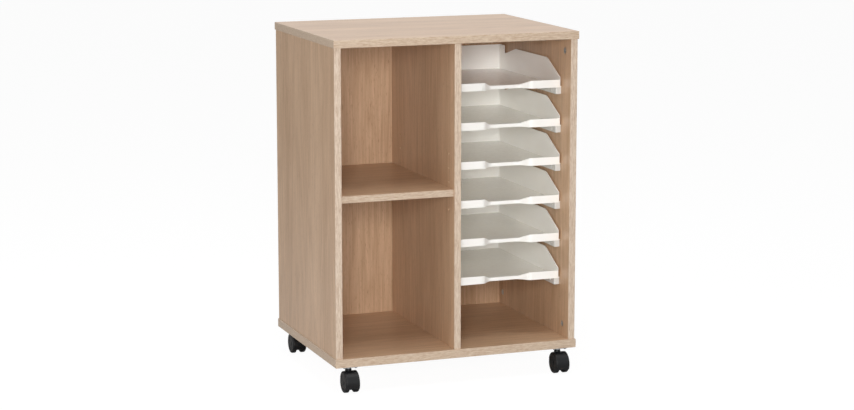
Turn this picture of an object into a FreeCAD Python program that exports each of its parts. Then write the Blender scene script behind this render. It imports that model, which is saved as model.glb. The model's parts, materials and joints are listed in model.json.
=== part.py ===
import FreeCAD, Part
import math
import os

# A rolling cabinet with three open bays and six letter trays, in millimetres.
# +Z is up, the open front faces -Y, and the origin is on the floor under the middle of the whole cart.

Vec = FreeCAD.Vector
X_AXIS = Vec(1, 0, 0)
Y_AXIS = Vec(0, 1, 0)
Z_AXIS = Vec(0, 0, 1)

# Boards
cabinet_width = 590.0
board_depth = 450.0
box_height = 741.0
top_thickness = 18.0
base_thickness = 20.0
panel_thickness = 16.0
side_overhang = 2.0
front_overhang = 4.0
rear_overhang = 2.0
back_panel_inset = 4.5
shelf_height = 370.7
shelf_setback = 5.0
shelf_clearance = 0.5
edging_thickness = 2.0
edging_radius = 1.2

# Cam fittings, dowels and shelf pins
cam_diameter = 15.0
cam_depth = 12.5
cam_sink = 0.4
cam_fit = 0.1
cam_setback = 37.0
cam_to_board = 30.0
rear_cam_gap = 20.0
cross_length = 8.0
cross_width = 1.4
cross_depth = 2.0
bolt_diameter = 6.0
bolt_neck_diameter = 4.4
bolt_neck_length = 3.0
bolt_head_diameter = 7.0
bolt_head_length = 3.4
bolt_in_board = 11.0
bolt_fit = 0.3
dowel_diameter = 8.0
dowel_length = 30.0
dowel_in_board = 11.0
dowel_fit = 0.1
dowel_pocket = 1.0
hole_pitch = 32.0
pin_diameter = 5.0
pin_length = 16.0
pin_hole_depth = 9.0
pin_fit = 0.1
rear_pin_gap = 60.0
pin_rows_below = 1
pin_rows_above = 3

# Letter trays
tray_count = 6
tray_pitch = 90.0
first_tray_height = 136.5
tray_setback = 50.0
tray_depth = 368.0
tray_side_gap = 0.9
tray_rest_gap = 0.3
tray_wall = 2.2
tray_flange_width = 2.6
tray_flange_height = 2.0
tray_flange_end_gap = 30.0
tray_floor_lift = 2.0
tray_floor = 2.4
tray_tab_height = 18.0
tray_lip_height = 8.0
tray_cheek_height = 23.0
tray_side_height = 62.0
tray_rear_height = 63.5
tray_shoulder_depth = 78.0
tray_notch_height = 45.0
tray_post_depth = 28.0
tray_notch_width = 12.0
tray_notch_slope = 62.0
thumb_depth = 22.0
thumb_outer_half = 57.0
thumb_inner_half = 37.0
thumb_radius = 19.0
tray_corner_radius = 7.0
tray_front_radius = 2.6
tray_shoulder_radius = 34.0
tray_peak_radius = 22.0
tray_cheek_radius = 5.0
tray_small_radius = 3.0

# Tray runners
runner_width = 13.0
runner_height = 16.0
runner_length = 350.0
runner_setback = 5.6
runner_wall = 2.0
runner_boss_diameter = 10.0
runner_end_radius = 2.5
runner_screw_inset = 22.0
runner_pocket_diameter = 7.2
runner_seat = 3.0
screw_diameter = 3.6
screw_head_diameter = 6.6
screw_head_height = 2.2
screw_grip = 12.0
screw_fit = 0.1

# Castors
castor_height = 60.0
castor_inset_x = 37.0
castor_inset_y = 23.5
castor_trail = 12.0
wheel_diameter = 47.0
wheel_inner_face = 6.9
wheel_outer_face = 17.0
wheel_tread_end = 14.8
wheel_tread_chamfer = 0.8
wheel_shoulder_drop = 5.0
wheel_hub_radius = 7.0
wheel_rim_radius = 18.5
wheel_recess_depth = 3.0
wheel_face_dish = 1.2
wheel_cap_radius = 6.0
wheel_cap_rise = 0.8
axle_diameter = 6.0
axle_end_gap = 0.4
axle_cover = 3.0
axle_chamfer = 0.5
running_fit = 0.05
press_fit = 0.01
hood_gap = 1.0
hood_wall = 1.7
hood_half_width = 15.6
hood_front_drop_angle = 28.0
hood_rear_open_angle = 15.0
web_half_width = 6.2
web_hub_radius = 12.0
boss_top_radius = 7.0
boss_foot_radius = 9.5
boss_height = 52.5
boss_foot_height = 36.0
stem_diameter = 7.0
stem_foot_height = 31.0
stem_collar_radius = 4.9
stem_tip_chamfer = 0.8
stem_socket_gap = 0.6
plate_size = 38.0
plate_thickness = 2.0
plate_corner_radius = 5.0
plate_hole_spacing = 27.0
plate_cup_radius = 9.0
plate_cup_height = 2.0
castor_screw_grip = 14.0

# One overrun serves every cut that runs out of a solid.
overrun = 5.0
match = 0.001

# Heights and places that follow from the sizes above
base_low = castor_height
base_top = base_low + base_thickness
top_high = base_low + box_height
top_low = top_high - top_thickness
wheel_radius = wheel_diameter / 2
wheel_overrun = max(castor_trail + wheel_radius - castor_inset_y, 0)
board_middle_y = wheel_overrun / 2
board_front = board_middle_y - board_depth / 2
board_rear = board_middle_y + board_depth / 2
panel_front = board_front + front_overhang
panel_rear = board_rear - rear_overhang
back_rear = panel_rear - back_panel_inset
back_front = back_rear - panel_thickness
half_width = cabinet_width / 2
side_outer = half_width - side_overhang
side_inner = side_outer - panel_thickness
half_panel = panel_thickness / 2
shelf_top = base_top + shelf_height
shelf_low = shelf_top - panel_thickness
shelf_left = -side_inner + shelf_clearance
shelf_right = -half_panel - shelf_clearance
shelf_front = panel_front + shelf_setback
bay_width = side_inner - half_panel
tray_middle_x = half_panel + bay_width / 2
tray_width = bay_width - 2 * (tray_side_gap + tray_flange_width)
tray_front = panel_front + tray_setback
hood_radius = wheel_radius + hood_gap + hood_wall
pocket_radius = wheel_radius + hood_gap
axle_half_length = wheel_outer_face - axle_cover - axle_end_gap

cam_places = (panel_front + cam_setback, back_front - rear_cam_gap)
dowel_places = (cam_places[0] + hole_pitch, cam_places[1] - hole_pitch)
pin_columns = (panel_front + cam_setback, back_front - rear_pin_gap)
pin_row = shelf_low - pin_diameter / 2
back_dowel_share = 0.5
back_side_shares = (0.25, 0.75)

# Each upright: the middle of its thickness and the side, +1 or -1 along X, that its cams open to.
uprights = {
    "left_side": (-side_outer + half_panel, 1),
    "partition": (0, 1),
    "right_side": (side_outer - half_panel, -1),
}


def box(low, high):
    """A block between its lowest and its highest corner."""
    size = Vec(*high) - Vec(*low)
    return Part.makeBox(size.x, size.y, size.z, Vec(*low))


def rod(radius, length, start, axis):
    """A round bar that starts at a point and runs along an axis."""
    return Part.makeCylinder(radius, length, Vec(*start), axis)


def joined(solids):
    """One solid from several that touch or overlap."""
    return solids[0].fuse(list(solids[1:])).removeSplitter()


def drilled(solid, cutters):
    """The solid with every cutter taken out of it."""
    if not cutters:
        return solid
    return solid.cut(list(cutters))


def lies_on(edge, axis, value):
    """Whether an edge lies in the plane where one coordinate has this value."""
    bounds = edge.BoundBox
    low = (bounds.XMin, bounds.YMin, bounds.ZMin)[axis]
    high = (bounds.XMax, bounds.YMax, bounds.ZMax)[axis]
    return abs(low - value) < match and abs(high - value) < match


def rounded_outline(corners, place):
    """A flat face whose corners, given as (a, b, radius), are turned by tangent arcs."""
    count = len(corners)
    ends = []
    arcs = []
    for index, (a, b, radius) in enumerate(corners):
        corner = Vec(a, b, 0)
        back = Vec(*corners[index - 1][:2], 0) - corner
        ahead = Vec(*corners[(index + 1) % count][:2], 0) - corner
        back.normalize()
        ahead.normalize()
        half_angle = back.getAngle(ahead) / 2
        reach = radius / math.tan(half_angle)
        start = corner + back * reach
        end = corner + ahead * reach
        ends.append((start, end))
        if radius:
            bisector = back + ahead
            bisector.normalize()
            middle = corner + bisector * (radius / math.sin(half_angle) - radius)
            arcs.append((start, middle, end))
        else:
            arcs.append(None)
    edges = []
    for index in range(count):
        if arcs[index]:
            edges.append(Part.Arc(*[place(p.x, p.y) for p in arcs[index]]).toShape())
        leave = ends[index][1]
        arrive = ends[(index + 1) % count][0]
        if leave.distanceToPoint(arrive) > match:
            line = Part.LineSegment(place(leave.x, leave.y), place(arrive.x, arrive.y))
            edges.append(line.toShape())
    return Part.Face(Part.Wire(Part.__sortEdges__(edges)))


def edging_strip(low, high, sharp_planes):
    """A glued edging strip, rounded on every edge that lies on none of the planes given."""
    strip = box(low, high)
    soft = [e for e in strip.Edges if not any(lies_on(e, *plane) for plane in sharp_planes)]
    return strip.makeFillet(edging_radius, soft)


def board_edging(low_z, high_z):
    """The four strips round a full board: front and rear run through, the sides fit between."""
    inner_front = board_front + edging_thickness
    inner_rear = board_rear - edging_thickness
    inner_x = half_width - edging_thickness
    front = edging_strip((-half_width, board_front, low_z), (half_width, inner_front, high_z),
                         [(1, inner_front)])
    rear = edging_strip((-half_width, inner_rear, low_z), (half_width, board_rear, high_z),
                        [(1, inner_rear)])
    ends = [(1, inner_front), (1, inner_rear)]
    left = edging_strip((-half_width, inner_front, low_z), (-inner_x, inner_rear, high_z),
                        ends + [(0, -inner_x)])
    right = edging_strip((inner_x, inner_front, low_z), (half_width, inner_rear, high_z),
                         ends + [(0, inner_x)])
    return Part.makeCompound([front, rear, left, right])


def upright_edging(middle_x, inner_y, outer_y):
    """A vertical strip on the front or rear edge of an upright."""
    low = (middle_x - half_panel, min(inner_y, outer_y), base_top)
    high = (middle_x + half_panel, max(inner_y, outer_y), top_low)
    return edging_strip(low, high, [(1, inner_y), (2, base_top), (2, top_low)])


def seams():
    """The two seams where an upright meets a board: height, and the way from the seam into the board."""
    return ((base_top, -1), (top_low, 1))


def bolt_heights(seam, into_board):
    """Heights along one cam bolt: its tip in the board, the seam and the cam's middle."""
    return seam + into_board * bolt_in_board, seam - into_board * cam_to_board


def cam_pockets(middle_x, opens):
    """Pockets for the cams in an upright, with the bores that the bolts run in."""
    cutters = []
    face_x = middle_x + opens * half_panel
    for y in cam_places:
        for seam, into_board in seams():
            cam_z = seam - into_board * cam_to_board
            start = (face_x + opens * overrun, y, cam_z)
            cutters.append(rod(cam_diameter / 2, cam_depth + overrun, start, X_AXIS * -opens))
            bore = bolt_head_diameter / 2 + bolt_fit
            start = (middle_x, y, seam + into_board * overrun)
            cutters.append(rod(bore, cam_to_board + overrun, start, Z_AXIS * -into_board))
    return cutters


def cam_lock(middle_x, opens, y, seam, into_board):
    """A cam: a short drum with a driver cross on its face and a mouth towards its bolt."""
    cam_z = seam - into_board * cam_to_board
    face_x = middle_x + opens * (half_panel - cam_sink)
    drum_length = cam_depth - cam_sink - cam_fit
    drum = rod(cam_diameter / 2 - cam_fit, drum_length, (face_x, y, cam_z), X_AXIS * -opens)
    mouth = bolt_head_diameter / 2 + bolt_fit
    mouth_end = cam_z + into_board * cam_diameter
    mouth_start = cam_z - into_board * mouth
    cutters = [box((middle_x - mouth, y - mouth, min(mouth_start, mouth_end)),
                   (middle_x + mouth, y + mouth, max(mouth_start, mouth_end)))]
    deep_x = face_x - opens * cross_depth
    open_x = face_x + opens * overrun
    for half_y, half_z in ((cross_length / 2, cross_width / 2), (cross_width / 2, cross_length / 2)):
        cutters.append(box((min(deep_x, open_x), y - half_y, cam_z - half_z),
                           (max(deep_x, open_x), y + half_y, cam_z + half_z)))
    return drilled(drum, cutters)


def cam_bolt(middle_x, y, seam, into_board):
    """A bolt screwed into the board, whose head the cam draws in."""
    tip_z, cam_z = bolt_heights(seam, into_board)
    down = Z_AXIS * -into_board
    head_start = cam_z + into_board * bolt_head_length / 2
    neck_start = head_start + into_board * bolt_neck_length
    shaft = rod(bolt_diameter / 2, abs(tip_z - neck_start), (middle_x, y, tip_z), down)
    neck = rod(bolt_neck_diameter / 2, bolt_neck_length, (middle_x, y, neck_start), down)
    head = rod(bolt_head_diameter / 2, bolt_head_length, (middle_x, y, head_start), down)
    return joined([shaft, neck, head])


def upright_dowels():
    """Dowels between the uprights and the two boards: the point at the seam and the way into the board."""
    return [((middle_x, y, seam), Z_AXIS * into_board)
            for middle_x, _ in uprights.values()
            for y in dowel_places
            for seam, into_board in seams()]


def back_dowels():
    """Dowels that hold the back panel: to the boards above and below, and to both sides."""
    middle_y = (back_front + back_rear) / 2
    places = []
    for side in (-1, 1):
        for seam, into_board in seams():
            point = (side * side_inner * back_dowel_share, middle_y, seam)
            places.append((point, Z_AXIS * into_board))
        for share in back_side_shares:
            point = (side * side_inner, middle_y, base_top + share * (top_low - base_top))
            places.append((point, X_AXIS * side))
    return places


def dowel(point, into_board):
    """A dowel pin across a seam, the shorter part of it in the board."""
    start = Vec(*point) + into_board * dowel_in_board
    return Part.makeCylinder(dowel_diameter / 2, dowel_length, start, into_board * -1)


def dowel_holes(places):
    """Holes for dowels, a little wider and deeper than the pins."""
    holes = []
    for point, into_board in places:
        start = Vec(*point) + into_board * (dowel_in_board + dowel_pocket)
        length = dowel_length + 2 * dowel_pocket
        holes.append(Part.makeCylinder(dowel_diameter / 2 + dowel_fit, length, start, into_board * -1))
    return holes


def bolt_holes():
    """Holes in the two boards for the screwed ends of the cam bolts."""
    holes = []
    for middle_x, _ in uprights.values():
        for y in cam_places:
            for seam, into_board in seams():
                start = (middle_x, y, seam - into_board * overrun)
                holes.append(rod(bolt_diameter / 2, bolt_in_board + overrun, start, Z_AXIS * into_board))
    return holes


def pin_holes(face_x, into_panel):
    """The rows of shelf pin holes in one face."""
    holes = []
    for y in pin_columns:
        for row in range(-pin_rows_below, pin_rows_above + 1):
            start = (face_x - into_panel * overrun, y, pin_row + row * hole_pitch)
            length = pin_hole_depth + overrun
            holes.append(rod(pin_diameter / 2 + pin_fit, length, start, X_AXIS * into_panel))
    return holes


def shelf_pins():
    """Four plain pins, half in the panel and half under the shelf."""
    pins = []
    for face_x, into_panel in ((-side_inner, -1), (-half_panel, 1)):
        for y in pin_columns:
            start = (face_x + into_panel * pin_length / 2, y, pin_row)
            pins.append(rod(pin_diameter / 2, pin_length, start, X_AXIS * -into_panel))
    return Part.makeCompound(pins)


def tray_height(number):
    """Height of the underside of a tray, counted from the lowest."""
    return base_top + first_tray_height + (number - 1) * tray_pitch


def runner_screw_places():
    """Each runner screw: where its runner meets the panel, and the way into the panel."""
    places = []
    first_y = tray_front + runner_setback + runner_screw_inset
    last_y = tray_front + runner_setback + runner_length - runner_screw_inset
    for number in range(1, tray_count + 1):
        z = tray_height(number) - tray_rest_gap - runner_height / 2
        for y in (first_y, last_y):
            places.append(((half_panel, y, z), -1))
            places.append(((side_inner, y, z), 1))
    return places


def runner_screw_holes(into_panel):
    """Pilot holes for the runner screws in the panel on one side of the tray bay."""
    holes = []
    for (face_x, y, z), way in runner_screw_places():
        if way == into_panel:
            start = (face_x - way * overrun, y, z)
            holes.append(rod(screw_diameter / 2 + screw_fit, screw_grip + overrun, start, X_AXIS * way))
    return holes


def screw(seat, way, shank_length):
    """A pan head screw: its head stands off the seat, its shank runs the given way."""
    head_start = seat - way * screw_head_height
    head = Part.makeCone(screw_head_diameter / 3, screw_head_diameter / 2, screw_head_height,
                         head_start, way)
    shank = Part.makeCylinder(screw_diameter / 2, shank_length, seat, way)
    return joined([head, shank])


def runner_screws():
    """Every runner screw, its head on the seat inside the runner."""
    screws = []
    for (face_x, y, z), way in runner_screw_places():
        seat = Vec(face_x - way * runner_seat, y, z)
        screws.append(screw(seat, X_AXIS * way, runner_seat + screw_grip - screw_fit))
    return Part.makeCompound(screws)


def runner(number, face_x, into_panel):
    """A moulded runner: a channel open below, with two bosses that its screws sit in."""
    front = tray_front + runner_setback
    rear = front + runner_length
    top = tray_height(number) - tray_rest_gap
    low = top - runner_height
    inner_x = face_x - into_panel * runner_width
    near_x = min(face_x, inner_x)
    far_x = max(face_x, inner_x)
    bar = box((near_x, front, low), (far_x, rear, top))
    ends = [e for e in bar.Edges if lies_on(e, 0, inner_x) and not lies_on(e, 2, low)]
    bar = bar.makeFillet(runner_end_radius, ends)
    hollow = box((near_x + runner_wall, front + runner_wall, low - overrun),
                 (far_x - runner_wall, rear - runner_wall, top - runner_wall))
    middle_z = (low + top) / 2
    bosses = []
    bores = []
    for y in (front + runner_screw_inset, rear - runner_screw_inset):
        bosses.append(rod(runner_boss_diameter / 2, runner_width, (near_x, y, middle_z), X_AXIS))
        pocket_start = (inner_x - into_panel * overrun, y, middle_z)
        pocket_length = runner_width - runner_seat + overrun
        bores.append(rod(runner_pocket_diameter / 2, pocket_length, pocket_start, X_AXIS * into_panel))
        bores.append(rod(screw_diameter / 2 + screw_fit, runner_width, (near_x, y, middle_z), X_AXIS))
    return drilled(bar.cut(hollow.cut(bosses)), bores)


def tray_plan():
    """The tray seen from above: a sheet of letter paper's room, with a thumb recess in the front."""
    half = tray_width / 2
    corners = [
        (-half, 0, tray_front_radius),
        (-thumb_outer_half, 0, thumb_radius),
        (-thumb_inner_half, thumb_depth, thumb_radius),
        (thumb_inner_half, thumb_depth, thumb_radius),
        (thumb_outer_half, 0, thumb_radius),
        (half, 0, tray_front_radius),
        (half, tray_depth, tray_corner_radius),
        (-half, tray_depth, tray_corner_radius),
    ]
    return rounded_outline(corners, lambda a, b: Vec(a, b, 0))


def tray_side_view():
    """The tray seen from the side: low cheek, long level side, stacking notch and rear post."""
    post = tray_depth - tray_post_depth
    notch = post - tray_notch_width
    corners = [
        (0, 0, 0),
        (0, tray_cheek_height, tray_cheek_radius),
        (tray_shoulder_depth, tray_side_height, tray_shoulder_radius),
        (notch - tray_notch_slope, tray_side_height, tray_peak_radius),
        (notch, tray_notch_height, tray_small_radius),
        (post, tray_notch_height, tray_small_radius),
        (post, tray_rear_height, tray_small_radius),
        (tray_depth, tray_rear_height, tray_small_radius),
        (tray_depth, 0, 0),
    ]
    face = rounded_outline(corners, lambda a, b: Vec(-tray_width, a, b))
    return face.extrude(X_AXIS * (2 * tray_width))


def tray_front_cut():
    """What is cut off between the tray's sides at the front, which leaves two tabs and a low lip."""
    inner = tray_width / 2 - tray_wall
    high = tray_rear_height + overrun
    corners = [
        (-inner, tray_tab_height, 0),
        (-thumb_outer_half, tray_tab_height, tray_small_radius),
        (-thumb_inner_half, tray_lip_height, thumb_radius),
        (thumb_inner_half, tray_lip_height, thumb_radius),
        (thumb_outer_half, tray_tab_height, tray_small_radius),
        (inner, tray_tab_height, 0),
        (inner, high, 0),
        (-inner, high, 0),
    ]
    face = rounded_outline(corners, lambda a, b: Vec(a, -overrun, b))
    return face.extrude(Y_AXIS * (thumb_depth + tray_wall + 2 * overrun))


def tray_shape():
    """One tray with the middle of its front edge at the origin."""
    plan = tray_plan()
    inside = plan.makeOffset2D(-tray_wall)
    room = inside.copy()
    room.translate(Z_AXIS * (tray_floor_lift + tray_floor))
    body = plan.extrude(Z_AXIS * (tray_rear_height + overrun)).common(tray_side_view())
    body = drilled(body, [
        inside.extrude(Z_AXIS * tray_floor_lift),
        room.extrude(Z_AXIS * (tray_rear_height + overrun)),
        tray_front_cut(),
    ])
    half = tray_width / 2
    flange_end = tray_depth - tray_flange_end_gap
    flanges = []
    for side in (-1, 1):
        inner_x = side * (half - tray_wall)
        outer_x = side * (half + tray_flange_width)
        flanges.append(box((min(inner_x, outer_x), tray_front_radius, 0),
                           (max(inner_x, outer_x), flange_end, tray_flange_height)))
    return joined([body] + flanges)


def wheel(side):
    """A moulded wheel on the X axis: crowned tread, dished face with a cap, hollow inner side."""
    bore = axle_diameter / 2 + running_fit
    bore_end = wheel_outer_face - axle_cover
    rim_face = wheel_inner_face + wheel_tread_chamfer
    shoulder = wheel_radius - wheel_shoulder_drop
    shoulder_x = (wheel_tread_end + wheel_outer_face) / 2 + wheel_tread_chamfer
    shoulder_r = (wheel_radius + shoulder) / 2 + wheel_tread_chamfer
    dish = wheel_outer_face - wheel_face_dish
    cap = wheel_outer_face - wheel_face_dish + wheel_cap_rise

    def at(x, r):
        return Vec(side * x, 0, r)

    line_points = [
        at(wheel_outer_face, shoulder),
        at(dish, wheel_cap_radius + wheel_face_dish),
        at(dish, wheel_cap_radius),
        at(cap, wheel_cap_radius - wheel_cap_rise),
        at(cap, 0),
        at(bore_end, 0),
        at(bore_end, bore),
        at(wheel_inner_face, bore),
        at(wheel_inner_face, wheel_hub_radius),
        at(wheel_inner_face + wheel_recess_depth, wheel_hub_radius),
        at(wheel_inner_face + wheel_recess_depth, wheel_rim_radius),
        at(wheel_inner_face, wheel_rim_radius),
        at(wheel_inner_face, wheel_radius - wheel_tread_chamfer),
        at(rim_face, wheel_radius),
        at(wheel_tread_end, wheel_radius),
    ]
    edges = [Part.LineSegment(a, b).toShape() for a, b in zip(line_points, line_points[1:])]
    crown = Part.Arc(line_points[-1], at(shoulder_x, shoulder_r), line_points[0])
    edges.append(crown.toShape())
    profile = Part.Face(Part.Wire(edges))
    return profile.revolve(Vec(0, 0, 0), X_AXIS, 360)


def hood_sector():
    """The hood's full outline across its width: a sector of a drum round the axle."""
    front = math.radians(180 + hood_front_drop_angle)
    rear = math.radians(hood_rear_open_angle)
    middle = (front + rear) / 2

    def at(angle):
        return Vec(-hood_half_width, hood_radius * math.cos(angle), hood_radius * math.sin(angle))

    axle = Vec(-hood_half_width, 0, 0)
    edges = [
        Part.LineSegment(axle, at(rear)).toShape(),
        Part.Arc(at(rear), at(middle), at(front)).toShape(),
        Part.LineSegment(at(front), axle).toShape(),
    ]
    return Part.Face(Part.Wire(edges)).extrude(X_AXIS * (2 * hood_half_width))


def hood():
    """The swivelling hood of a castor, about its axle: shell, web between the wheels and stem boss."""
    sector = hood_sector()
    hub = rod(web_hub_radius, 2 * web_half_width, (-web_half_width, 0, 0), X_AXIS)
    foot_z = boss_foot_height - wheel_radius
    top_z = boss_height - wheel_radius
    boss = Part.makeCone(boss_foot_radius, boss_top_radius, top_z - foot_z,
                         Vec(0, castor_trail, foot_z), Z_AXIS)
    body = joined([sector, hub, boss])
    stem_z = stem_foot_height - stem_socket_gap - wheel_radius
    cutters = [
        rod(axle_diameter / 2 + press_fit, 2 * web_half_width, (-web_half_width, 0, 0), X_AXIS),
        rod(stem_diameter / 2 + running_fit, boss_height, (0, castor_trail, stem_z), Z_AXIS),
    ]
    pocket_width = hood_half_width - web_half_width + overrun
    for side in (-1, 1):
        cutters.append(rod(pocket_radius, pocket_width, (side * web_half_width, 0, 0), X_AXIS * side))
    return drilled(body, cutters)


def axle():
    """The steel pin that both wheels turn on, chamfered at its ends."""
    pin = rod(axle_diameter / 2, 2 * axle_half_length, (-axle_half_length, 0, 0), X_AXIS)
    ends = [e for e in pin.Edges if lies_on(e, 0, -axle_half_length) or lies_on(e, 0, axle_half_length)]
    return pin.makeChamfer(axle_chamfer, ends)


def stem():
    """The steel stem on the swivel axis, from the plate's cup down into the hood, about the floor."""
    top = castor_height - plate_thickness - plate_cup_height
    collar_low = boss_height + running_fit
    pin = rod(stem_diameter / 2, top - stem_foot_height, (0, 0, stem_foot_height), Z_AXIS)
    tip = [e for e in pin.Edges if lies_on(e, 2, stem_foot_height)]
    pin = pin.makeChamfer(stem_tip_chamfer, tip)
    collar = rod(stem_collar_radius, top - collar_low, (0, 0, collar_low), Z_AXIS)
    return joined([pin, collar])


def plate():
    """The castor's top plate: four screw holes and a pressed cup for the stem, about the floor."""
    half = plate_size / 2
    low = castor_height - plate_thickness
    sheet = box((-half, -half, low), (half, half, castor_height))
    corners = [e for e in sheet.Edges if abs(e.BoundBox.ZLength - plate_thickness) < match]
    sheet = sheet.makeFillet(plate_corner_radius, corners)
    cup = Part.makeCone(plate_cup_radius - plate_cup_height, plate_cup_radius, plate_cup_height,
                        Vec(0, 0, low - plate_cup_height), Z_AXIS)
    holes = []
    for x, y in plate_hole_places():
        holes.append(rod(screw_diameter / 2 + screw_fit, plate_size, (x, y, low - overrun), Z_AXIS))
    return drilled(joined([sheet, cup]), holes)


def plate_hole_places():
    """The four screw holes of a castor plate, from its middle."""
    half = plate_hole_spacing / 2
    return [(x, y) for x in (-half, half) for y in (-half, half)]


def castor_places():
    """The swivel axis of each castor by name."""
    places = {}
    for end, y in (("front", board_front + castor_inset_y), ("rear", board_rear - castor_inset_y)):
        for hand, x in (("left", castor_inset_x - half_width), ("right", half_width - castor_inset_x)):
            places[end + "_" + hand] = (x, y)
    return places


def castor_screw_holes():
    """Pilot holes in the base board for the castor screws."""
    holes = []
    for x, y in castor_places().values():
        for dx, dy in plate_hole_places():
            start = (x + dx, y + dy, base_low - overrun)
            holes.append(rod(screw_diameter / 2 + screw_fit, castor_screw_grip + overrun, start, Z_AXIS))
    return holes


def castor_screws():
    """The sixteen screws that hold the castor plates."""
    screws = []
    seat_z = castor_height - plate_thickness
    for x, y in castor_places().values():
        for dx, dy in plate_hole_places():
            seat = Vec(x + dx, y + dy, seat_z)
            screws.append(screw(seat, Z_AXIS, plate_thickness + castor_screw_grip - screw_fit))
    return Part.makeCompound(screws)


def board(low_z, high_z, extra_holes):
    """A full board without its edging, drilled for bolts and dowels."""
    inner_x = half_width - edging_thickness
    core = box((-inner_x, board_front + edging_thickness, low_z),
               (inner_x, board_rear - edging_thickness, high_z))
    return drilled(core, bolt_holes() + dowel_holes(upright_dowels() + back_dowels()) + extra_holes)


def upright(name):
    """A side or the partition without its edging, with its cam pockets and dowel holes."""
    middle_x, opens = uprights[name]
    rear = back_front if name == "partition" else panel_rear - edging_thickness
    core = box((middle_x - half_panel, panel_front + edging_thickness, base_top),
               (middle_x + half_panel, rear, top_low))
    cutters = cam_pockets(middle_x, opens)
    cutters += dowel_holes(upright_dowels())
    if name == "left_side":
        cutters += pin_holes(-side_inner, -1)
    if name == "partition":
        cutters += pin_holes(-half_panel, 1) + runner_screw_holes(-1)
    if name == "right_side":
        cutters += runner_screw_holes(1)
    if name != "partition":
        cutters += dowel_holes(back_dowels())
    return drilled(core, cutters)


def shelf():
    """The loose shelf of the left bay, without its edging."""
    return box((shelf_left, shelf_front + edging_thickness, shelf_low),
               (shelf_right, back_front - shelf_clearance, shelf_top))


def shelf_edging():
    """The strip on the shelf's front edge."""
    inner = shelf_front + edging_thickness
    return edging_strip((shelf_left, shelf_front, shelf_low), (shelf_right, inner, shelf_top),
                        [(1, inner), (0, shelf_left), (0, shelf_right)])


def side_edging():
    """The strips on the front and rear edges of both sides."""
    strips = []
    for name in ("left_side", "right_side"):
        middle_x = uprights[name][0]
        strips.append(upright_edging(middle_x, panel_front + edging_thickness, panel_front))
        strips.append(upright_edging(middle_x, panel_rear - edging_thickness, panel_rear))
    return Part.makeCompound(strips)


def carcass():
    """The boards, panels, shelf and edging, by node."""
    nodes = {
        "base_board": board(base_low, base_top, castor_screw_holes()),
        "base_board_edging": board_edging(base_low, base_top),
        "top_board": board(top_low, top_high, []),
        "top_board_edging": board_edging(top_low, top_high),
        "side_edging": side_edging(),
        "partition_edging": upright_edging(0, panel_front + edging_thickness, panel_front),
        "back_panel": drilled(box((-side_inner, back_front, base_top), (side_inner, back_rear, top_low)),
                              dowel_holes(back_dowels())),
        "shelf": shelf(),
        "shelf_edging": shelf_edging(),
        "shelf_pins": shelf_pins(),
    }
    for name in uprights:
        nodes[name] = upright(name)
    return nodes


def fittings():
    """The cams, their bolts and the dowels, by node."""
    cams = []
    bolts = []
    for middle_x, opens in uprights.values():
        for y in cam_places:
            for seam, into_board in seams():
                cams.append(cam_lock(middle_x, opens, y, seam, into_board))
                bolts.append(cam_bolt(middle_x, y, seam, into_board))
    return {
        "cam_locks": Part.makeCompound(cams),
        "cam_bolts": Part.makeCompound(bolts),
        "wood_dowels": Part.makeCompound([dowel(*place) for place in upright_dowels() + back_dowels()]),
        "runner_screws": runner_screws(),
        "castor_screws": castor_screws(),
    }


def trays_and_runners():
    """Each tray and its two runners, by node, numbered from the lowest."""
    nodes = {}
    shape = tray_shape()
    for number in range(1, tray_count + 1):
        tray = shape.copy()
        tray.translate(Vec(tray_middle_x, tray_front, tray_height(number)))
        nodes["tray_%d" % number] = tray
        nodes["left_runner_%d" % number] = runner(number, half_panel, -1)
        nodes["right_runner_%d" % number] = runner(number, side_inner, 1)
    return nodes


def castors():
    """The pieces of each castor, by node, with all four trailing to the front."""
    nodes = {}
    at_axle = {"hood": hood(), "axle": axle(), "left_wheel": wheel(-1), "right_wheel": wheel(1)}
    at_swivel = {"plate": plate(), "stem": stem()}
    for name, (x, y) in castor_places().items():
        for piece, shape in at_axle.items():
            placed = shape.copy()
            placed.translate(Vec(x, y - castor_trail, wheel_radius))
            nodes[name + "_castor_" + piece] = placed
        for piece, shape in at_swivel.items():
            placed = shape.copy()
            placed.translate(Vec(x, y, 0))
            nodes[name + "_castor_" + piece] = placed
    return nodes


def main():
    """Writes every node of the cart to its own file."""
    os.makedirs("parts", exist_ok=True)
    nodes = {}
    nodes.update(carcass())
    nodes.update(fittings())
    nodes.update(trays_and_runners())
    nodes.update(castors())
    for name, shape in nodes.items():
        shape.exportStep("parts/" + name + ".step")
    print(len(nodes), "nodes")


main()
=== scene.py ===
import json
import math

import bmesh
import bpy
from mathutils import Matrix, Vector


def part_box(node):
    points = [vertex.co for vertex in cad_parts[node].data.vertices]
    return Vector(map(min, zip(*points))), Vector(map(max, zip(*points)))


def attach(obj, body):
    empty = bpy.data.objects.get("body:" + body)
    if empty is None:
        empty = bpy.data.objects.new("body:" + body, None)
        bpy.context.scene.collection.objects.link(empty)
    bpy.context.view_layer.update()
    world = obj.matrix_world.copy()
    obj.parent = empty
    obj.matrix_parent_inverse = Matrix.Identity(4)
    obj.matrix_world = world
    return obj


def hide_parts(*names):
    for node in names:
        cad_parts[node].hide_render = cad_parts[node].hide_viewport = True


# A rolling cabinet of oak decor boards with letter trays: finishes, soft edges and castor detail.
# Lengths are in metres unless a name ends in _mm. +Z is up and the open front faces -Y.

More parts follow.
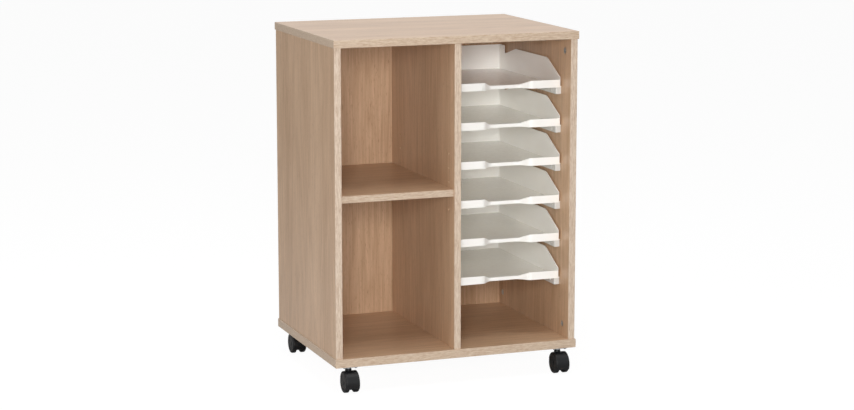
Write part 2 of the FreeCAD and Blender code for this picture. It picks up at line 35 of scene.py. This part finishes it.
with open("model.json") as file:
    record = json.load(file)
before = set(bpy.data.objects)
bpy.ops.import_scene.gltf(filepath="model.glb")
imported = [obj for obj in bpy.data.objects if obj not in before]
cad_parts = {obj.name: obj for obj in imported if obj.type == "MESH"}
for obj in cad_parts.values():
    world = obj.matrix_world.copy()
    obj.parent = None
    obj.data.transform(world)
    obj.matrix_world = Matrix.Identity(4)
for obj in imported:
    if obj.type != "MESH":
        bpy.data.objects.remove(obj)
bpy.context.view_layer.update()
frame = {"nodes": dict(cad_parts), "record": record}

MM = 0.001
MERGE = 0.00001
FLAT_ANGLE = math.radians(0.5)
SHARP_ANGLE = math.radians(32)
SMOOTH_ANGLE = math.radians(50)
ALONG_X = 0
ALONG_Z = 2

# Edge roundings
board_edge = 0.5 * MM
moulded_edge = 0.4 * MM
moulded_edge_shortest = 4.0 * MM
runner_edge = 0.4 * MM
pressed_edge = 0.3 * MM
cast_edge = 0.2 * MM
castor_edge = 0.3 * MM
rounding_steps = 2

# A castor wheel from its bore out to its face: distance from the castor's middle, then radius.
wheel_outline_mm = [
    (14.0, 0.0), (14.0, 3.05), (6.9, 3.05), (6.9, 7.0), (9.9, 7.0), (9.9, 18.5), (6.9, 18.5),
    (6.9, 22.7), (7.7, 23.5), (14.8, 23.5), (16.2, 22.6), (16.9, 20.6), (17.0, 18.5),
    (16.6, 16.2), (16.0, 15.9), (16.0, 15.0), (16.4, 14.6), (15.8, 7.2), (15.8, 6.0),
    (16.6, 5.2), (16.6, 0.0),
]
wheel_steps = 64

# The castor hood, a T in section that is spun about the axle
hood_radius = 26.19 * MM
hood_wall = 1.7 * MM
hood_half_width = 15.6 * MM
hood_rim_rounding = 1.2 * MM
hood_rim_steps = 4
hood_steps = 28
hood_rear_opening = math.radians(15)
hood_front_end = math.radians(208)
web_half_width = 6.2 * MM
web_hub_radius = 12.0 * MM
boss_foot_radius = 9.5 * MM
boss_top_radius = 7.0 * MM
boss_foot_height = 36.0 * MM
boss_top_height = 52.5 * MM
boss_seat_radius = 24.0 * MM
turning_steps = 40

# Screws with a cross recess: where the grid lines of the head lie, as shares of its top's radius
screw_diameter = 3.6 * MM
screw_head_radius = 3.3 * MM
screw_top_radius = 2.5 * MM
screw_head_height = 2.2 * MM
screw_recess_depth = 1.2 * MM
screw_recess_draft = 0.01 * MM
screw_shank_steps = 10
screw_grid_cells = 5
screw_line_shares = {1: 0.17, 3: 0.66, 5: 1.0}

# The camera, aimed near the middle of the boards. The steps move it sideways and up from there.
camera_target = Vector((0, 0.006, 0.4305))
camera_azimuth = math.radians(-20.47)
camera_elevation = math.radians(10.14)
camera_distance = 5.383
camera_side_step = 0.0071
camera_rise = -0.0511
camera_lens_mm = 96.28

# The studio. Each softbox has its place, width and power.
ambient_strength = 0.14
floor_size = 30.0
floor_glow_share = 0.9
floor_glow = 1.06
lamp_aim = Vector((0, 0, 0.45))
softboxes = {
    "front_softbox": ((-1.62, -4.46, 1.35), 1.2, 131),
    "left_softbox": ((-3.15, -0.84, 1.97), 1.6, 23),
    "top_softbox": ((0, -0.56, 3.6), 2.0, 55),
}


def paint(code):
    """An sRGB hex colour as the linear colour that a shader takes."""
    linear = []
    for start in (1, 3, 5):
        value = int(code[start:start + 2], 16) / 255
        linear.append(value / 12.92 if value <= 0.04045 else ((value + 0.055) / 1.055) ** 2.4)
    return (*linear, 1.0)


def add(tree, kind, settings=None, links=None):
    """Adds a node. Settings are its properties, inputs and colour stops, links feed its inputs."""
    node = tree.nodes.new(kind)
    for key, value in (settings or {}).items():
        if key == "stops":
            stops = node.color_ramp.elements
            while len(stops) < len(value):
                stops.new(1.0)
            for stop, (place, colour) in zip(stops, value):
                stop.position = place
                stop.color = paint(colour)
        elif isinstance(key, int) or key in node.inputs:
            node.inputs[key].default_value = value
        else:
            setattr(node, key, value)
    for key, output in (links or {}).items():
        tree.links.new(output, node.inputs[key])
    return node


def blank(name, **surface):
    """A new material with its node tree and surface shader, set to the plain values given."""
    material = bpy.data.materials.new(name)
    material.use_nodes = True
    tree = material.node_tree
    shader = tree.nodes["Principled BSDF"]
    for key, value in surface.items():
        shader.inputs[key.replace("_", " ")].default_value = value
    return material, tree, shader


def wire(tree, shader, **outputs):
    """Feeds the surface shader's inputs."""
    for key, output in outputs.items():
        tree.links.new(output, shader.inputs[key.replace("_", " ")])


def along(tree, grain_axis, across_mm, along_mm):
    """Object coordinates where one unit is this far across the grain and this far along it."""
    scale = [1 / (across_mm * MM)] * 3
    scale[grain_axis] = 1 / (along_mm * MM)
    place = add(tree, "ShaderNodeTexCoord")
    mapping = add(tree, "ShaderNodeMapping", {"Scale": scale}, {"Vector": place.outputs["Object"]})
    return mapping.outputs[0]


def oak_decor(name, grain_axis):
    """Melamine skin with a printed oak decor, pressed dry and satin: brushed streaks, faint crowns
    of growth rings and short dark pores."""
    material, tree, shader = blank(name, IOR=1.5)
    tone = add(tree, "ShaderNodeTexNoise", {"Scale": 1.0, "Detail": 2.0},
               {"Vector": along(tree, grain_axis, 60, 900)})
    rings = add(tree, "ShaderNodeTexNoise", {"Scale": 1.0, "Detail": 1.0, "Distortion": 0.3},
                {"Vector": along(tree, grain_axis, 75, 800)})
    ring_count = add(tree, "ShaderNodeMath", {"operation": "MULTIPLY", 1: 9.0}, {0: rings.outputs[0]})
    ring_lines = add(tree, "ShaderNodeMath", {"operation": "PINGPONG", 1: 0.5},
                     {0: ring_count.outputs[0]})
    streaks = add(tree, "ShaderNodeTexNoise", {"Scale": 1.0, "Detail": 4.0, "Roughness": 0.62},
                  {"Vector": along(tree, grain_axis, 3.4, 120)})
    # Real pores are a third of a millimetre wide. These are drawn coarser so that they show.
    pores = add(tree, "ShaderNodeTexNoise", {"Scale": 1.0, "Detail": 2.0, "Roughness": 0.6},
                {"Vector": along(tree, grain_axis, 1.7, 15)})
    rings_part = add(tree, "ShaderNodeMath", {"operation": "MULTIPLY", 1: 0.22},
                     {0: ring_lines.outputs[0]})
    tone_part = add(tree, "ShaderNodeMath", {"operation": "MULTIPLY_ADD", 1: 0.4},
                    {0: tone.outputs[0], 2: rings_part.outputs[0]})
    grain = add(tree, "ShaderNodeMath", {"operation": "MULTIPLY_ADD", 1: 0.75},
                {0: streaks.outputs[0], 2: tone_part.outputs[0]})
    wood = add(tree, "ShaderNodeValToRGB", {"stops": [(0.45, "#B69474"), (0.95, "#DEBD9D")]},
               {"Fac": grain.outputs[0]})
    pore_mask = add(tree, "ShaderNodeMapRange", {"From Min": 0.58, "From Max": 0.74, "To Max": 0.5},
                    {"Value": pores.outputs[0]})
    skin = add(tree, "ShaderNodeMix", {"data_type": "RGBA", 7: paint("#8F6A48")},
               {0: pore_mask.outputs[0], 6: wood.outputs[0]})
    gloss = add(tree, "ShaderNodeMapRange", {"To Min": 0.28, "To Max": 0.42},
                {"Value": streaks.outputs[0]})
    relief = add(tree, "ShaderNodeMath", {"operation": "SUBTRACT"},
                 {0: streaks.outputs[0], 1: pore_mask.outputs[0]})
    bump = add(tree, "ShaderNodeBump", {"Strength": 0.25, "Distance": 0.15 * MM},
               {"Height": relief.outputs[0]})
    wire(tree, shader, Base_Color=skin.outputs[2], Roughness=gloss.outputs[0], Normal=bump.outputs[0])
    return material


def edge_band(name, grain_axis, deep, middle, pale):
    """ABS edge band, extruded, printed and scraped flush: paler than the boards, with a short
    mottled grain."""
    material, tree, shader = blank(name, IOR=1.53)
    mottle = add(tree, "ShaderNodeTexNoise", {"Scale": 1.0, "Detail": 3.0, "Roughness": 0.65},
                 {"Vector": along(tree, grain_axis, 2.6, 8)})
    streaks = add(tree, "ShaderNodeTexNoise", {"Scale": 1.0, "Detail": 3.0},
                  {"Vector": along(tree, grain_axis, 1.7, 18)})
    grain = add(tree, "ShaderNodeMath", {"operation": "MULTIPLY_ADD", 1: 0.6},
                {0: mottle.outputs[0], 2: streaks.outputs[0]})
    band = add(tree, "ShaderNodeValToRGB",
               {"stops": [(0.6, deep), (0.8, middle), (1.0, pale)]},
               {"Fac": grain.outputs[0]})
    gloss = add(tree, "ShaderNodeMapRange", {"To Min": 0.34, "To Max": 0.5},
                {"Value": mottle.outputs[0]})
    bump = add(tree, "ShaderNodeBump", {"Strength": 0.2, "Distance": 0.1 * MM},
               {"Height": grain.outputs[0]})
    wire(tree, shader, Base_Color=band.outputs[0], Roughness=gloss.outputs[0], Normal=bump.outputs[0])
    return material


def moulding(name, pale, deep, cloud_mm, ripple_mm, ripple, gloss_from, gloss_to, ior):
    """Injection-moulded plastic: an even colour with slight flow clouds, under a skin that ripples
    a little, so that reflections wander."""
    material, tree, shader = blank(name, IOR=ior)
    place = add(tree, "ShaderNodeTexCoord")
    clouds = add(tree, "ShaderNodeTexNoise", {"Scale": 1 / (cloud_mm * MM), "Detail": 3.0},
                 {"Vector": place.outputs["Object"]})
    skin = add(tree, "ShaderNodeTexNoise", {"Scale": 1 / (ripple_mm * MM), "Detail": 2.0},
               {"Vector": place.outputs["Object"]})
    body = add(tree, "ShaderNodeValToRGB", {"stops": [(0.3, deep), (0.7, pale)]},
               {"Fac": clouds.outputs[0]})
    gloss = add(tree, "ShaderNodeMapRange", {"To Min": gloss_from, "To Max": gloss_to},
                {"Value": skin.outputs[0]})
    bump = add(tree, "ShaderNodeBump", {"Strength": ripple, "Distance": 0.1 * MM},
               {"Height": skin.outputs[0]})
    wire(tree, shader, Base_Color=body.outputs[0], Roughness=gloss.outputs[0], Normal=bump.outputs[0])
    return material


def grey_metal(name, pale, deep, grain_mm, gloss_from, gloss_to, roughening):
    """Zinc as plating or as a casting: a cloudy grey metal whose gloss changes with its grain."""
    material, tree, shader = blank(name, Metallic=1.0)
    place = add(tree, "ShaderNodeTexCoord")
    clouds = add(tree, "ShaderNodeTexNoise", {"Scale": 1 / (grain_mm * MM), "Detail": 4.0},
                 {"Vector": place.outputs["Object"]})
    metal = add(tree, "ShaderNodeValToRGB", {"stops": [(0.3, deep), (0.7, pale)]},
                {"Fac": clouds.outputs[0]})
    gloss = add(tree, "ShaderNodeMapRange", {"To Min": gloss_from, "To Max": gloss_to},
                {"Value": clouds.outputs[0]})
    bump = add(tree, "ShaderNodeBump", {"Strength": roughening, "Distance": 0.05 * MM},
               {"Height": clouds.outputs[0]})
    wire(tree, shader, Base_Color=metal.outputs[0], Roughness=gloss.outputs[0], Normal=bump.outputs[0])
    return material


def turned_beech():
    """Beech dowels, turned and left dry: pale brown wood with short flecks."""
    material, tree, shader = blank("turned_beech", Roughness=0.65, IOR=1.5)
    flecks = add(tree, "ShaderNodeTexNoise", {"Scale": 1.0, "Detail": 2.0},
                 {"Vector": along(tree, ALONG_Z, 1, 8)})
    wood = add(tree, "ShaderNodeValToRGB", {"stops": [(0.35, "#A97F57"), (0.65, "#C9A47C")]},
               {"Fac": flecks.outputs[0]})
    wire(tree, shader, Base_Color=wood.outputs[0])
    return material


def merged(node):
    """A copy of a node's mesh with its doubles merged and its flat faces joined."""
    form = bmesh.new()
    form.from_mesh(frame["nodes"][node].data)
    bmesh.ops.remove_doubles(form, verts=form.verts, dist=MERGE)
    bmesh.ops.dissolve_limit(form, angle_limit=FLAT_ANGLE, verts=form.verts, edges=form.edges)
    return form


def soften(form, width, shortest=0.0):
    """Rounds the sharp edges of a form that are longer than a given length, then merges doubles."""
    sharp = []
    for edge in form.edges:
        if edge.is_manifold and edge.calc_face_angle() > SHARP_ANGLE and edge.calc_length() > shortest:
            sharp.append(edge)
    bmesh.ops.bevel(form, geom=sharp, affect="EDGES", offset=width, segments=rounding_steps,
                    profile=0.5, material=-1, clamp_overlap=False)
    bmesh.ops.remove_doubles(form, verts=form.verts, dist=MERGE)
    bmesh.ops.dissolve_degenerate(form, dist=MERGE, edges=form.edges)


def piece(name, form, material, nodes):
    """Makes a finished form an object that rides with its nodes and stands for them."""
    mesh = bpy.data.meshes.new(name)
    form.to_mesh(mesh)
    form.free()
    mesh.shade_smooth()
    mesh.set_sharp_from_angle(angle=SMOOTH_ANGLE)
    mesh.materials.append(material)
    made = bpy.data.objects.new(name, mesh)
    bpy.context.scene.collection.objects.link(made)
    shading = made.modifiers.new("even shading", "WEIGHTED_NORMAL")
    shading.keep_sharp = True
    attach(made, body_of[nodes[0]])
    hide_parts(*nodes)
    return made


def softened(node, making, width, material, shortest=0.0):
    """A node's own form with rounded edges, named for how the piece was made."""
    form = merged(node)
    soften(form, width, shortest)
    return piece(node + "_" + making, form, material, [node])


def coated(node, material):
    """Gives a node that already has its rounded edges its finish."""
    mesh = frame["nodes"][node].data
    mesh.materials.clear()
    mesh.materials.append(material)


def solids_of(node):
    """The lowest and highest corner of each separate solid in a node."""
    form = merged(node)
    waiting = set(form.verts)
    boxes = []
    while waiting:
        front = [waiting.pop()]
        reached = []
        while front:
            corner = front.pop()
            reached.append(corner.co)
            for edge in corner.link_edges:
                other = edge.other_vert(corner)
                if other in waiting:
                    waiting.remove(other)
                    front.append(other)
        low = Vector([min(place[axis] for place in reached) for axis in range(3)])
        high = Vector([max(place[axis] for place in reached) for axis in range(3)])
        boxes.append((low, high))
    form.free()
    return sorted(boxes, key=lambda corners: tuple(corners[0]))


def screw_top(form):
    """The round top of a screw's head, as a grid whose inner lines bound a cross."""
    grid = bmesh.ops.create_grid(form, x_segments=screw_grid_cells, y_segments=screw_grid_cells,
                                 size=screw_top_radius)["verts"]
    faces = list(dict.fromkeys(face for corner in grid for face in corner.link_faces))
    for corner in grid:
        rim = corner.is_boundary
        for axis in (0, 1):
            line = round(abs(corner.co[axis]) / screw_top_radius * screw_grid_cells)
            corner.co[axis] = math.copysign(screw_line_shares[line] * screw_top_radius, corner.co[axis])
        if rim:
            corner.co = corner.co.normalized() * screw_top_radius
    return grid, faces


def cross_head_screw(form, top, outward, length):
    """Adds a pan head screw with a cross recess, from its head's top and the way it faces."""
    grid, faces = screw_top(form)
    arm_half = screw_line_shares[1] * screw_top_radius
    arm_end = screw_line_shares[3] * screw_top_radius
    rim_edges = [edge for face in faces for edge in face.edges if edge.is_boundary]
    skirt = bmesh.ops.extrude_edge_only(form, edges=rim_edges)["geom"]
    foot = [item for item in skirt if isinstance(item, bmesh.types.BMVert)]
    flare = screw_head_radius / screw_top_radius
    for corner in foot:
        corner.co = Vector((corner.co.x * flare, corner.co.y * flare, -screw_head_height))
    base_edges = [item for item in skirt if isinstance(item, bmesh.types.BMEdge) and item.is_boundary]
    bmesh.ops.holes_fill(form, edges=base_edges)
    recess = []
    for face in faces:
        centre = face.calc_center_median()
        near, far = sorted((abs(centre.x), abs(centre.y)))
        if near < arm_half and far < arm_end:
            recess.append(face)
    pushed = bmesh.ops.inset_region(form, faces=recess, thickness=screw_recess_draft,
                                     depth=-screw_recess_depth)
    shank = bmesh.ops.create_cone(form, cap_ends=True, segments=screw_shank_steps,
                                  radius1=screw_diameter / 2, radius2=screw_diameter / 2,
                                  depth=length - screw_head_height,
                                  matrix=Matrix.Translation((0, 0, -(length + screw_head_height) / 2)))
    corners = {corner for face in pushed["faces"] + recess for corner in face.verts}
    corners.update(grid, foot, shank["verts"])
    turn = outward.to_track_quat("Z", "Y").to_matrix().to_4x4()
    bmesh.ops.transform(form, matrix=Matrix.Translation(top) @ turn, verts=list(corners))


def screws(node, outward_of, material):
    """Cross-head screws where a node's solids are, each facing the way that outward_of gives."""
    form = bmesh.new()
    for low, high in solids_of(node):
        middle = (low + high) / 2
        outward = outward_of(middle)
        half = Vector([abs(part) for part in (high - low) / 2])
        reach = abs(half.dot(outward))
        cross_head_screw(form, middle + outward * reach, outward, 2 * reach)
    bmesh.ops.recalc_face_normals(form, faces=form.faces)
    return piece(node + "_cross_head", form, material, [node])


def wheel_form(middle, side):
    """A moulded castor wheel, turned about its axle from its outline."""
    form = bmesh.new()
    outline = [form.verts.new((side * x * MM, 0, r * MM)) for x, r in wheel_outline_mm]
    line = [form.edges.new(pair) for pair in zip(outline, outline[1:])]
    bmesh.ops.spin(form, geom=outline + line, cent=(0, 0, 0), axis=(1, 0, 0), dvec=(0, 0, 0),
                   angle=math.tau, steps=wheel_steps, use_merge=True, use_duplicate=False)
    bmesh.ops.remove_doubles(form, verts=form.verts, dist=MERGE)
    bmesh.ops.recalc_face_normals(form, faces=form.faces)
    bmesh.ops.translate(form, verts=form.verts, vec=middle)
    return form


def hood_section():
    """The hood's section across its width: a roof with rounded rims over a web, as (x, radius)."""
    inner = hood_radius - hood_wall
    roof = []
    for step in range(hood_rim_steps + 1):
        angle = step / hood_rim_steps * math.pi / 2
        x = hood_half_width - hood_rim_rounding + hood_rim_rounding * math.cos(angle)
        roof.append((x, hood_radius - hood_rim_rounding + hood_rim_rounding * math.sin(angle)))
    half = [(web_half_width, 0), (web_half_width, inner), (hood_half_width, inner)] + roof
    return half + [(-x, r) for x, r in reversed(half)]


def hood_form(axle, swivel_y):
    """The hood of a castor about its axle: the spun roof and web, its hub and the stem boss."""
    form = bmesh.new()
    start = hood_rear_opening
    corners = [form.verts.new((x, r * math.cos(start), r * math.sin(start))) for x, r in hood_section()]
    section = form.faces.new(corners)
    bmesh.ops.spin(form, geom=[section], cent=(0, 0, 0), axis=(1, 0, 0), dvec=(0, 0, 0),
                   angle=hood_front_end - hood_rear_opening, steps=hood_steps, use_duplicate=False)
    bmesh.ops.remove_doubles(form, verts=form.verts, dist=MERGE)
    sideways = Matrix.Rotation(math.pi / 2, 4, "Y")
    bmesh.ops.create_cone(form, cap_ends=True, segments=turning_steps, radius1=web_hub_radius,
                          radius2=web_hub_radius, depth=2 * web_half_width, matrix=sideways)
    soften(form, castor_edge)
    boss = boss_form(swivel_y - axle.y, axle.z)
    bmesh.ops.recalc_face_normals(form, faces=form.faces)
    mesh = bpy.data.meshes.new("boss")
    boss.to_mesh(mesh)
    boss.free()
    form.from_mesh(mesh)
    bpy.data.meshes.remove(mesh)
    bmesh.ops.translate(form, verts=form.verts, vec=axle)
    return form


def boss_form(swivel_y, axle_height):
    """The stem boss: a cone cut off where it stands on the hood's roof."""
    boss = bmesh.new()
    height = boss_top_height - boss_foot_height
    middle_z = (boss_top_height + boss_foot_height) / 2 - axle_height
    bmesh.ops.create_cone(boss, cap_ends=True, segments=turning_steps, radius1=boss_foot_radius,
                          radius2=boss_top_radius, depth=height,
                          matrix=Matrix.Translation((0, swivel_y, middle_z)))
    seat = Vector((0, swivel_y, math.sqrt(boss_seat_radius ** 2 - swivel_y ** 2)))
    cut = bmesh.ops.bisect_plane(boss, geom=[*boss.verts, *boss.edges, *boss.faces],
                                 plane_co=seat, plane_no=seat.normalized(), clear_inner=True)
    rim = [item for item in cut["geom_cut"] if isinstance(item, bmesh.types.BMEdge)]
    bmesh.ops.holes_fill(boss, edges=rim)
    soften(boss, castor_edge)
    bmesh.ops.recalc_face_normals(boss, faces=boss.faces)
    return boss


def cabinet_boards():
    """The boards and panels: the top, base and shelf have their grain sideways, the rest upright."""
    level = oak_decor("melamine_oak_decor_level", ALONG_X)
    upright = oak_decor("melamine_oak_decor_upright", ALONG_Z)
    for node in ("top_board", "base_board", "shelf"):
        softened(node, "laminated", board_edge, level)
    for node in ("left_side", "right_side", "partition", "back_panel"):
        softened(node, "laminated", board_edge, upright)


def cabinet_edging():
    """The glued bands, with the grain of the print along each."""
    level = edge_band("abs_edge_band_level", ALONG_X, "#B39880", "#C3AD96", "#CFBCA6")
    upright = edge_band("abs_edge_band_upright", ALONG_Z, "#B9A08A", "#CAB5A0", "#D6C4B1")
    for node in ("top_board_edging", "base_board_edging", "shelf_edging"):
        coated(node, level)
    for node in ("side_edging", "partition_edging"):
        coated(node, upright)


def trays_and_runners():
    """The glossy letter trays and their matt runners."""
    polystyrene = moulding("moulded_polystyrene", "#FDFCF8", "#FCFAF5", 60, 9, 0.06, 0.16, 0.28, 1.59)
    abs_plastic = moulding("moulded_abs", "#DEDDD9", "#D2D1CC", 30, 1.2, 0.25, 0.38, 0.5, 1.53)
    for node in frame["nodes"]:
        if node.startswith("tray_"):
            softened(node, "moulded", moulded_edge, polystyrene, moulded_edge_shortest)
        if "_runner_" in node:
            softened(node, "moulded", runner_edge, abs_plastic)


def fittings(plated):
    """Cams, bolts, pins, dowels and screws."""
    cast = grey_metal("zinc_die_casting", "#DADCDD", "#B7BABB", 0.9, 0.38, 0.52, 0.3)
    softened("cam_locks", "cast", cast_edge, cast)
    softened("cam_bolts", "plated", cast_edge, plated)
    softened("shelf_pins", "plated", pressed_edge, plated)
    softened("wood_dowels", "turned", pressed_edge, turned_beech())
    bay_low, bay_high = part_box("tray_1")
    bay_middle = (bay_low.x + bay_high.x) / 2
    screws("runner_screws", lambda place: Vector((math.copysign(1, bay_middle - place.x), 0, 0)), plated)
    screws("castor_screws", lambda place: Vector((0, 0, -1)), plated)


def castors(plated):
    """Each castor's hood and wheels in nylon, its axle, plate and stem in plated steel."""
    nylon = moulding("moulded_nylon", "#0D0E10", "#09090B", 18, 0.8, 0.3, 0.38, 0.5, 1.36)
    tread = moulding("polypropylene_wheel", "#0C0C0E", "#08080A", 12, 0.7, 0.35, 0.42, 0.55, 1.36)
    for end in ("front", "rear"):
        for hand in ("left", "right"):
            castor = end + "_" + hand + "_castor_"
            axle = (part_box(castor + "left_wheel")[0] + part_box(castor + "right_wheel")[1]) / 2
            stem_low, stem_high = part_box(castor + "stem")
            swivel_y = (stem_low.y + stem_high.y) / 2
            piece(castor + "hood_moulded", hood_form(axle, swivel_y), nylon, [castor + "hood"])
            for wheel, side in (("left_wheel", -1), ("right_wheel", 1)):
                piece(castor + wheel + "_moulded", wheel_form(axle, side), tread, [castor + wheel])
            for part in ("axle", "plate", "stem"):
                softened(castor + part, "plated", pressed_edge, plated)


def softbox(name, place, width, power):
    """A square lamp that faces the point all lamps are aimed at."""
    light = bpy.data.lights.new(name, "AREA")
    light.size = width
    light.energy = power
    box = bpy.data.objects.new(name, light)
    box.location = place
    box.rotation_euler = (lamp_aim - Vector(place)).to_track_quat("-Z", "Y").to_euler()
    bpy.context.scene.collection.objects.link(box)


def studio():
    """A white world for the eye and for reflections, softer for the light itself, and the softboxes."""
    world = bpy.data.worlds.new("studio")
    bpy.context.scene.world = world
    world.use_nodes = True
    tree = world.node_tree
    path = add(tree, "ShaderNodeLightPath")
    seen = add(tree, "ShaderNodeMath", {"operation": "ADD"},
               {0: path.outputs["Is Camera Ray"], 1: path.outputs["Is Glossy Ray"]})
    shown = add(tree, "ShaderNodeMath", {"operation": "ADD", "use_clamp": True},
                {0: seen.outputs[0], 1: path.outputs["Is Transmission Ray"]})
    strength = add(tree, "ShaderNodeMapRange", {"To Min": ambient_strength, "To Max": 1.0},
                   {"Value": shown.outputs[0]})
    tree.links.new(strength.outputs[0], tree.nodes["Background"].inputs["Strength"])
    tree.nodes["Background"].inputs["Color"].default_value = paint("#FFFFFF")
    for name, (place, width, power) in softboxes.items():
        softbox(name, place, width, power)


def floor():
    """A plain white floor that glows a little for the eye, and still takes the soft shadow."""
    form = bmesh.new()
    bmesh.ops.create_grid(form, x_segments=1, y_segments=1, size=floor_size / 2)
    mesh = bpy.data.meshes.new("floor")
    form.to_mesh(mesh)
    form.free()
    sheet = bpy.data.objects.new("floor", mesh)
    bpy.context.scene.collection.objects.link(sheet)
    material = bpy.data.materials.new("studio_floor")
    material.use_nodes = True
    tree = material.node_tree
    tree.nodes.clear()
    path = add(tree, "ShaderNodeLightPath")
    share = add(tree, "ShaderNodeMath", {"operation": "MULTIPLY", 1: floor_glow_share},
                {0: path.outputs["Is Camera Ray"]})
    matt = add(tree, "ShaderNodeBsdfDiffuse", {"Color": paint("#F4F4F4")})
    glow = add(tree, "ShaderNodeEmission", {"Color": paint("#FFFFFF"), "Strength": floor_glow})
    mix = add(tree, "ShaderNodeMixShader", None,
              {0: share.outputs[0], 1: matt.outputs[0], 2: glow.outputs[0]})
    add(tree, "ShaderNodeOutputMaterial", None, {"Surface": mix.outputs[0]})
    mesh.materials.append(material)


def camera():
    """The camera at the height and angle that the cabinet is seen from."""
    back = Vector((math.sin(camera_azimuth) * math.cos(camera_elevation),
                   -math.cos(camera_azimuth) * math.cos(camera_elevation),
                   math.sin(camera_elevation)))
    right = Vector((math.cos(camera_azimuth), math.sin(camera_azimuth), 0))
    up = back.cross(right)
    lens = bpy.data.cameras.new("camera")
    lens.lens = camera_lens_mm
    eye = bpy.data.objects.new("camera", lens)
    eye.location = camera_target + back * camera_distance + right * camera_side_step + up * camera_rise
    eye.rotation_euler = (math.pi / 2 - camera_elevation, 0, camera_azimuth)
    bpy.context.scene.collection.objects.link(eye)
    bpy.context.scene.camera = eye


bodies = frame["record"]["behaviour"]["bodies"]
body_of = {node: body for body, nodes in bodies.items() for node in nodes}

plated_steel = grey_metal("zinc_plated_steel", "#CDD1D4", "#A9ADB1", 4, 0.22, 0.4, 0.15)
cabinet_boards()
cabinet_edging()
trays_and_runners()
fittings(plated_steel)
castors(plated_steel)
studio()
floor()
camera()
bpy.context.scene.view_settings.view_transform = "Standard"
bpy.context.scene.cycles.diffuse_bounces = 12
